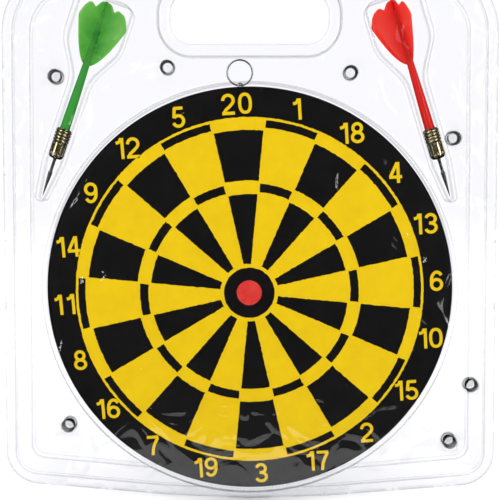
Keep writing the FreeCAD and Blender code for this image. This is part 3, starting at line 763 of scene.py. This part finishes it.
def stroke_cells(line):
    """A centre line as a run of four-cornered cells of the stroke's width."""
    loop = math.dist(line[0], line[-1]) < 1e-6
    points = np.array(line[:-1] if loop else line)
    after, before = np.roll(points, -1, axis=0), np.roll(points, 1, axis=0)
    if not loop:
        after[-1], before[0] = points[-1], points[0]
    run = (after - before) / np.linalg.norm(after - before, axis=1)[:, None]
    side = np.stack((-run[:, 1], run[:, 0]), 1) * STROKE / 2
    left, right = points + side, points - side
    last = len(points) if loop else len(points) - 1
    return [[tuple(right[k]), tuple(right[(k + 1) % len(points)]),
             tuple(left[(k + 1) % len(points)]), tuple(left[k])]
            for k in range(last)]


def numeral_sheet(mark):
    """Triangles of one numeral, its strokes joined."""
    points, faces = [], []
    for line in NUMERALS[mark]:
        for cell in stroke_cells(line):
            faces.append(list(range(len(points), len(points) + 4)))
            points += [Vector(p) for p in cell]
    places, _, cells, _, _, owners = delaunay_2d_cdt(points, [], faces, 1, 1e-4)
    kept = [cell for cell, owner in zip(cells, owners) if owner]
    return [tuple(p) for p in places], kept


def turned_alike(points, cells):
    """The same triangles, all running anticlockwise."""
    area = sum((points[a][0] * points[b][1] - points[b][0] * points[a][1])
               for cell in cells for a, b in zip(cell, [*cell[1:], cell[0]]))
    return [tuple(c) if area > 0 else tuple(reversed(c)) for c in cells]


def slab(points, cells, low, high):
    """A flat closed slab over triangles in the plane of the board's face."""
    cells = turned_alike(points, cells)
    count = len(points)
    solid = [(x, -high, z) for x, z in points] + [(x, -low, z) for x, z in points]
    faces = list(cells) + [tuple(count + i for i in reversed(cell)) for cell in cells]
    sides = {}
    for cell in cells:
        for a, b in zip(cell, cell[1:] + cell[:1]):
            sides[(a, b)] = True
    faces += [(b, a, count + a, count + b) for a, b in sides if (b, a) not in sides]
    return solid, faces


def numbers_print(material, face_depth):
    """All twenty numbers in raised ink, upright in the print's own frame."""
    sheets = {mark: numeral_sheet(mark) for mark in NUMERALS}
    points, faces = [], []
    for place, number in enumerate(NUMBERS):
        angle = place * 2 * math.pi / SECTORS
        cx, cz = (NUMBER_RADIUS * PRINT_RADIUS * f(angle) for f in (math.sin, math.cos))
        text = str(number)
        steps = [0.0]
        for mark in text[:-1]:
            steps.append(steps[-1] + (NARROW_STEP if mark == "1" else NUMERAL_STEP))
        width = 0.66 + steps[-1]
        for mark, step in zip(text, steps):
            flat, cells = sheets[mark]
            left = cx + (step - width / 2) * NUMERAL_HEIGHT + NUDGE.get(number, 0.0)
            low = cz - NUMERAL_HEIGHT / 2
            placed = [(left + x * NUMERAL_HEIGHT, low + z * NUMERAL_HEIGHT) for x, z in flat]
            solid, own = slab(placed, cells, face_depth, face_depth + PRINT_THICK)
            faces += [tuple(i + len(points) for i in face) for face in own]
            points += solid
    return points, faces


def printed_field(material):
    """The yellow field with its numbers."""
    face_depth = SEAM + BOARD_HALF
    turn = Matrix.Rotation(math.radians(-PRINT_TURN), 4, "Y")
    flat, cells = sector_pair()
    cells = turned_alike(flat, cells)
    piece = mesh_object("yellow_field_print", [(x, -face_depth, z) for x, z in flat], cells, material,
                        smooth=False)

    def repeat(item):
        tree, named = print_tree(material)
        step = item.modifiers.new("ink", "NODES")
        step.node_group = tree
        step[named["Repeats"]] = SECTORS // 2

    applied(piece, repeat)
    piece.data.transform(turn)
    points, faces = numbers_print(material, face_depth)
    numbers = mesh_object("yellow_number_print", moved(points, turn), faces, material, smooth=False)
    return piece, numbers


def bull_print(material):
    """The red centre dot, an inked disc with a slightly uneven edge."""
    face_depth = SEAM + BOARD_HALF
    dice = random.Random(3)
    count, radius = 72, 0.072 * PRINT_RADIUS
    uneven = [radius + dice.uniform(-0.1, 0.1) for _ in range(count)]
    ring = [(r * math.cos(math.tau * k / count), r * math.sin(math.tau * k / count))
            for k, r in enumerate(uneven)]
    flat, cells = cut_sheet([ring])
    points, faces = slab(flat, [tuple(c) for c in cells], face_depth, face_depth + PRINT_THICK)
    return mesh_object("centre_spot_print", points, faces, material, smooth=False)


def hanging_ring(material):
    """The loose wire ring: a drawn wire bent round, its two ends butted with a hairline gap."""
    major, minor, around, across = RING_RADIUS, RING_WIRE, 120, 20
    lean = math.radians(RING_LEAN)
    reach = BOARD_RADIUS + 0.35 + minor + major
    centre = Vector((-reach * math.sin(lean), -SEAM, reach * math.cos(lean)))
    start, gap = math.radians(62), math.radians(0.9)
    points = []
    for k in range(around + 1):
        angle = start + gap / 2 + (math.tau - gap) * k / around
        out = Vector((math.cos(angle), 0, math.sin(angle)))
        for m in range(across):
            turn = math.tau * m / across
            wire = out * (major + minor * math.cos(turn)) + Vector((0, minor * math.sin(turn), 0))
            points.append(tuple(centre + wire))
    faces = [
        (k * across + m, k * across + (m + 1) % across,
         (k + 1) * across + (m + 1) % across, (k + 1) * across + m)
        for k in range(around) for m in range(across)
    ]
    faces += [tuple(range(across)), tuple(around * across + m for m in reversed(range(across)))]
    return mesh_object("hanging_wire_ring", points, faces, material, outward=True, sharp=50)


# ---------------------------------------------------------------- the darts


def dart_place(colour):
    """Where a dart made along the Z axis lies in the pack, tip down."""
    x, z = DARTS[colour]["tip"]
    turn = Matrix.Rotation(math.radians(DARTS[colour]["lean"]), 4, "Y")
    return Matrix.Translation((x, -SEAM, z)) @ turn


def dart_point(colour, material):
    """A ground steel needle with a shoulder and a light collar by the barrel."""
    profile = [
        (0, 0), (0.06, 0.05), (0.14, 0.6), (0.42, 3.5), (0.78, 8.0), (1.08, 12.0), (1.2, 14.0), (1.25, 14.6),
        (1.22, 14.95), (1.0, 15.3), (0.86, 15.6), (0.85, 16.2), (0.85, 22.3), (0.95, 22.45), (1.05, 22.6),
        (1.05, 23.3), (0.95, 23.4), (0.85, 23.42), (0.85, 31.3), (0, 31.3),
    ]
    points, faces = lathe(profile, 40)
    return mesh_object(f"{colour}_needle", moved(points, dart_place(colour)), faces, material,
                       outward=True, sharp=50)


def barrel_profile():
    """A turned barrel: domed nose, plain grip and rounded ridges at the rear."""
    profile = [(0, NOSE + 8), (0.86, NOSE + 8), (0.86, NOSE + 0.05), (1.0, NOSE), (2.1, NOSE)]
    profile += [(2.35 + (GRIP - 2.35) * math.sin(a), NOSE + 0.05 + 2.5 * (1 - math.cos(a)))
                for a in (math.radians(9 * k) for k in range(11))]
    profile += [(GRIP, NOSE + 2.6 + 0.7 * k) for k in range(1, 11)]
    first, pitch, steps = NOSE + 10.2, 1.85, 12
    for ridge in range(RIDGES):
        for k in range(steps):
            crest = abs(math.sin(math.pi * k / steps)) ** 0.6
            profile.append((GRIP - 0.55 + (RIDGE - GRIP + 0.55) * crest, first + (ridge + k / steps) * pitch))
    profile += [(GRIP - 0.55, TAIL - 0.4), (GRIP - 0.2, TAIL - 0.25), (GRIP - 0.25, TAIL)]
    profile += [(1.62, TAIL), (1.62, TAIL - 6), (0, TAIL - 6)]
    return profile


def barrel(colour, material):
    """The brass barrel with milled lengthwise flutes in its grip."""
    first, last = NOSE + 3.0, NOSE + 9.6

    def fluted(r, s, angle):
        if abs(r - GRIP) > 0.01 or not first - 0.5 < s < last + 0.3:
            return r
        ends = min(1, max(0, (s - first + 0.5) / 0.8), max(0, (last + 0.3 - s) / 0.8))
        return r - 0.42 * max(0.0, math.cos(12 * angle)) ** 1.5 * ends

    points, faces = lathe(barrel_profile(), 144, fluted)
    piece = mesh_object(f"{colour}_knurled_barrel", moved(points, dart_place(colour)), faces, material,
                        outward=True, sharp=35)
    # crest: 0 where the radius is 0.4 mm or more under the grip's, rising to 1 just over it; it puts painted
    # shade in the grooves, flutes and narrow ends
    low = GRIP - 0.4
    return painted(piece, "crest", [min(1.0, max(0.0, (math.hypot(p[0], p[1]) - low) / 0.5)) for p in points])


def fin(angle, reach):
    """A leaf-shaped fin pressed flat by the pack: a grid from the stem to its edge and tail."""
    across, along = 16, 26
    points, edges = [], []
    for i in range(across + 1):
        u = i / across
        low = 0.68 * u ** 1.9 * FIN_LENGTH
        tail = np.interp(u, (0, 0.22, 0.42, 0.6, 0.76, 0.9, 1), (1, 0.975, 0.865, 0.92, 0.9, 0.82, 0.70))
        high = tail * FIN_LENGTH
        for j in range(along + 1):
            v = j / along
            s = FIN_ROOT + low + (high - low) * v
            flatten = 1.35 - 0.5 * u + 0.06 * math.sin(3.3 * v + angle)
            out_of_plane = angle if abs(angle) < 90 else math.copysign(180 - abs(angle), angle)
            lift = math.radians(out_of_plane) * flatten
            side = 1 if abs(angle) < 90 else -1
            radius = u * reach
            points.append((side * radius * math.cos(lift), radius * math.sin(lift), s))
            near_edge = min((1 - u) * reach, (1 - v) * (high - low), 8 * u + v * (high - low))
            edges.append(max(0.85 * u ** 1.6, 1 - near_edge / 1.3))
    faces = [
        (i * (along + 1) + j, (i + 1) * (along + 1) + j,
         (i + 1) * (along + 1) + j + 1, i * (along + 1) + j + 1)
        for i in range(across) for j in range(along)
    ]
    return points, faces, edges


def flight(colour, material):
    """Stem and four fins, moulded in one piece."""
    profile = [
        (0, TAIL - 6), (1.55, TAIL - 6), (1.6, TAIL - 5.9), (1.6, TAIL), (2.9, TAIL), (3.0, TAIL + 0.2),
        (3.0, TAIL + 0.8), (2.9, TAIL + 1.2), (2.8, TAIL + 9), (2.45, TAIL + 24), (2.05, FIN_ROOT - 1),
        (1.9, FIN_ROOT + 5), (1.5, FIN_ROOT + 16), (1.0, FIN_ROOT + 31),
        (0.8, FIN_ROOT + 32.4), (0, FIN_ROOT + 32.7),
    ]
    stem_points, stem_faces = lathe(profile, 40)
    stem = mesh_object(f"{colour}_moulded_flight", moved(stem_points, dart_place(colour)), stem_faces,
                       material, outward=True, sharp=50)
    painted(stem, "stem", [1.0 if p[2] < FIN_ROOT else 0.35 for p in stem_points])
    painted(stem, "fin_edge", [0.0] * len(stem_points))
    for angle, reach in FINS[colour]:
        points, faces, edges = fin(angle, reach)
        blade = mesh_object("fin", moved(points, dart_place(colour)), faces, material)
        painted(blade, "stem", [0.0] * len(points))
        painted(blade, "fin_edge", edges)

        def thicken(item):
            wall = item.modifiers.new("wall", "SOLIDIFY")
            wall.thickness, wall.offset = 0.5 * MM, 0

        applied(blade, thicken)
        merged = bmesh.new()
        merged.from_mesh(stem.data)
        merged.from_mesh(blade.data)
        merged.to_mesh(stem.data)
        merged.free()
        bpy.data.objects.remove(blade)
    return stem


# ---------------------------------------------------------------- put it together

FILM_CLEAR = clear_sheet()
INK_BLACK = printed_paper("black_printed_cover_paper", "#0A0808", "#120F0F", 0.55)
INK_YELLOW = printed_paper("yellow_screen_ink", "#E8C200", "#EFCB00", 0.5, grain_depth=0.006)
INK_RED = printed_paper("red_screen_ink", "#D2302A", "#E2463A", 0.42, grain_depth=0.006)
KRAFT = wound_paper()
RING_STEEL = metal("zinc_plated_wire", "#B4B6B8", "#E2E4E6", 0.3)
NEEDLE_STEEL = metal("blackened_ground_steel", "#4C4C49", "#84847F", 0.28)
# 262010 is painted shade for the barrel's grooves, flutes and narrow ends
BARREL_BRASS = metal("lacquered_brass", "#D6C690", "#F3E8BE", 0.25, streak_mm=5.0, wear=0.05,
                     groove_painted_shade="#262010")
GREEN_PE = flight_plastic("green_soft_polyethylene", "#84D862", "#3FB23E", "#C4E89C", "#A8E488")
RED_PE = flight_plastic("red_soft_polyethylene", "#F4341A", "#E81806", "#F98468", "#FF6648")

finished(formed_shell("rear_clear_shell", False, FILM_CLEAR), "pack_back", "clear_sheet", "back_shell")
finished(formed_shell("front_clear_shell", True, FILM_CLEAR), "pack_front", "clear_sheet", "front_shell")
finished(board_cover("front_cover_paper", 1, INK_BLACK), "board", "printed_cover", "board_face")
finished(board_cover("rear_cover_paper", -1, INK_BLACK), "board", "plain_cover", "board_back")
for ink in printed_field(INK_YELLOW):
    finished(ink, "board", "printed_cover")
finished(bull_print(INK_RED), "board", "printed_cover")
finished(hanging_ring(RING_STEEL), "hanger", "steel_wire", "hanger_ring")
for node, finish in (("board_core", KRAFT), ("hanger_eye", RING_STEEL)):
    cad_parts[node].data.materials.clear()
    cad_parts[node].data.materials.append(finish)
for colour, plastic in (("green", GREEN_PE), ("red", RED_PE)):
    body = f"{colour}_dart"
    finished(dart_point(colour, NEEDLE_STEEL), body, "dark_steel", f"{colour}_point")
    finished(barrel(colour, BARREL_BRASS), body, "brass", f"{colour}_barrel")
    finished(flight(colour, plastic), body, f"{colour}_plastic", f"{colour}_flight")

# ---------------------------------------------------------------- floor, light and camera


def studio_floor():
    """A plain pale floor just under the pack."""
    material, tree, output = new_material("pale_studio_floor")
    place = add(tree, "ShaderNodeTexCoord").outputs["Object"]
    cloud = add(tree, "ShaderNodeTexNoise", {
        "Vector": place, "Scale": 1 / (300 * MM), "Detail": 2.0,
    })
    colour = add(tree, "ShaderNodeMix", {
        0: cloud.outputs[0], 6: linear("#FDFDFD"), 7: linear("#FFFFFF"),
    }, data_type="RGBA")
    shader = add(tree, "ShaderNodeBsdfPrincipled", {
        "Base Color": colour.outputs[2], "Roughness": 0.9,
        "Specular IOR Level": 0.0, "Emission Color": (1, 1, 1, 1), "Emission Strength": 0.08,
    })
    tree.links.new(shader.outputs[0], output.inputs["Surface"])
    half, low = 4000, -128.6
    corners = [(-half, -half, low), (half, -half, low), (half, half, low), (-half, half, low)]
    floor = mesh_object("studio_floor", corners, [(0, 1, 2, 3)], material, smooth=False)
    floor.visible_glossy = False


def softbox(name, place, target, wide, high, power):
    """A soft rectangular studio light."""
    lamp = bpy.data.lights.new(name, "AREA")
    lamp.shape, lamp.size, lamp.size_y, lamp.energy = "RECTANGLE", wide, high, power
    light = bpy.data.objects.new(name, lamp)
    light.location = place
    light.rotation_euler = (Vector(target) - Vector(place)).to_track_quat("-Z", "Y").to_euler()
    bpy.context.scene.collection.objects.link(light)
    return light


def studio_world():
    """A white room as seen, softer as a light and darker as a reflection."""
    world = bpy.data.worlds.new("white_room")
    world.use_nodes = True
    tree = world.node_tree
    tree.nodes.clear()
    path = add(tree, "ShaderNodeLightPath")
    output = add(tree, "ShaderNodeOutputWorld")
    seen = add(tree, "ShaderNodeBackground", {"Color": (1, 1, 1, 1), "Strength": 1.07})
    mirrored = add(tree, "ShaderNodeBackground", {"Color": (1, 1, 1, 1), "Strength": 0.05})
    lit = add(tree, "ShaderNodeBackground", {"Color": (1, 1, 1, 1), "Strength": 1.0})
    other = add(tree, "ShaderNodeMixShader", {
        0: path.outputs["Is Glossy Ray"], 1: lit.outputs[0], 2: mirrored.outputs[0],
    })
    mixed = add(tree, "ShaderNodeMixShader", {
        0: path.outputs["Is Camera Ray"], 1: other.outputs[0], 2: seen.outputs[0],
    })
    tree.links.new(mixed.outputs[0], output.inputs["Surface"])
    bpy.context.scene.world = world


def main_camera():
    """The view straight at the pack, from a little above its middle."""
    lens = bpy.data.cameras.new("camera")
    lens.lens, lens.sensor_width = 57.6, 36.0
    lens.clip_start, lens.clip_end = 0.01, 50
    camera = bpy.data.objects.new("camera", lens)
    camera.location = (0.0051, -0.479, 0.0751)
    camera.rotation_euler = Vector((-0.0100, 0.9943, -0.1062)).to_track_quat("-Z", "Y").to_euler()
    bpy.context.scene.collection.objects.link(camera)
    bpy.context.scene.camera = camera


studio_floor()
studio_world()
softbox("key_softbox", (-0.7, -1.1, 1.1), (0, 0, 0), 0.9, 0.9, 4.5)
softbox("fill_softbox", (0.9, -1.0, 0.5), (0, 0, 0), 0.8, 0.8, 2.5)
low_card = softbox("low_card", (0.015, -0.062, -0.1275), (0.015, -0.062, 0.5), 0.26, 0.085, 0.115)
strips = [softbox(f"strip_{side}", (0.42 * way, -0.45, 0.1), (0, 0, 0.05), 0.08, 0.5, 1.0)
          for side, way in (("left", -1), ("right", 1))]
for mirrored in [low_card] + strips:  # seen only as reflections in the sheet and the metal
    mirrored.visible_camera = False
    mirrored.visible_diffuse = False
softbox("rear_softbox", (0.0, 1.3, 1.2), (0, 0, 0), 1.6, 0.8, 5)
main_camera()
bpy.context.scene.view_settings.view_transform = "Standard"
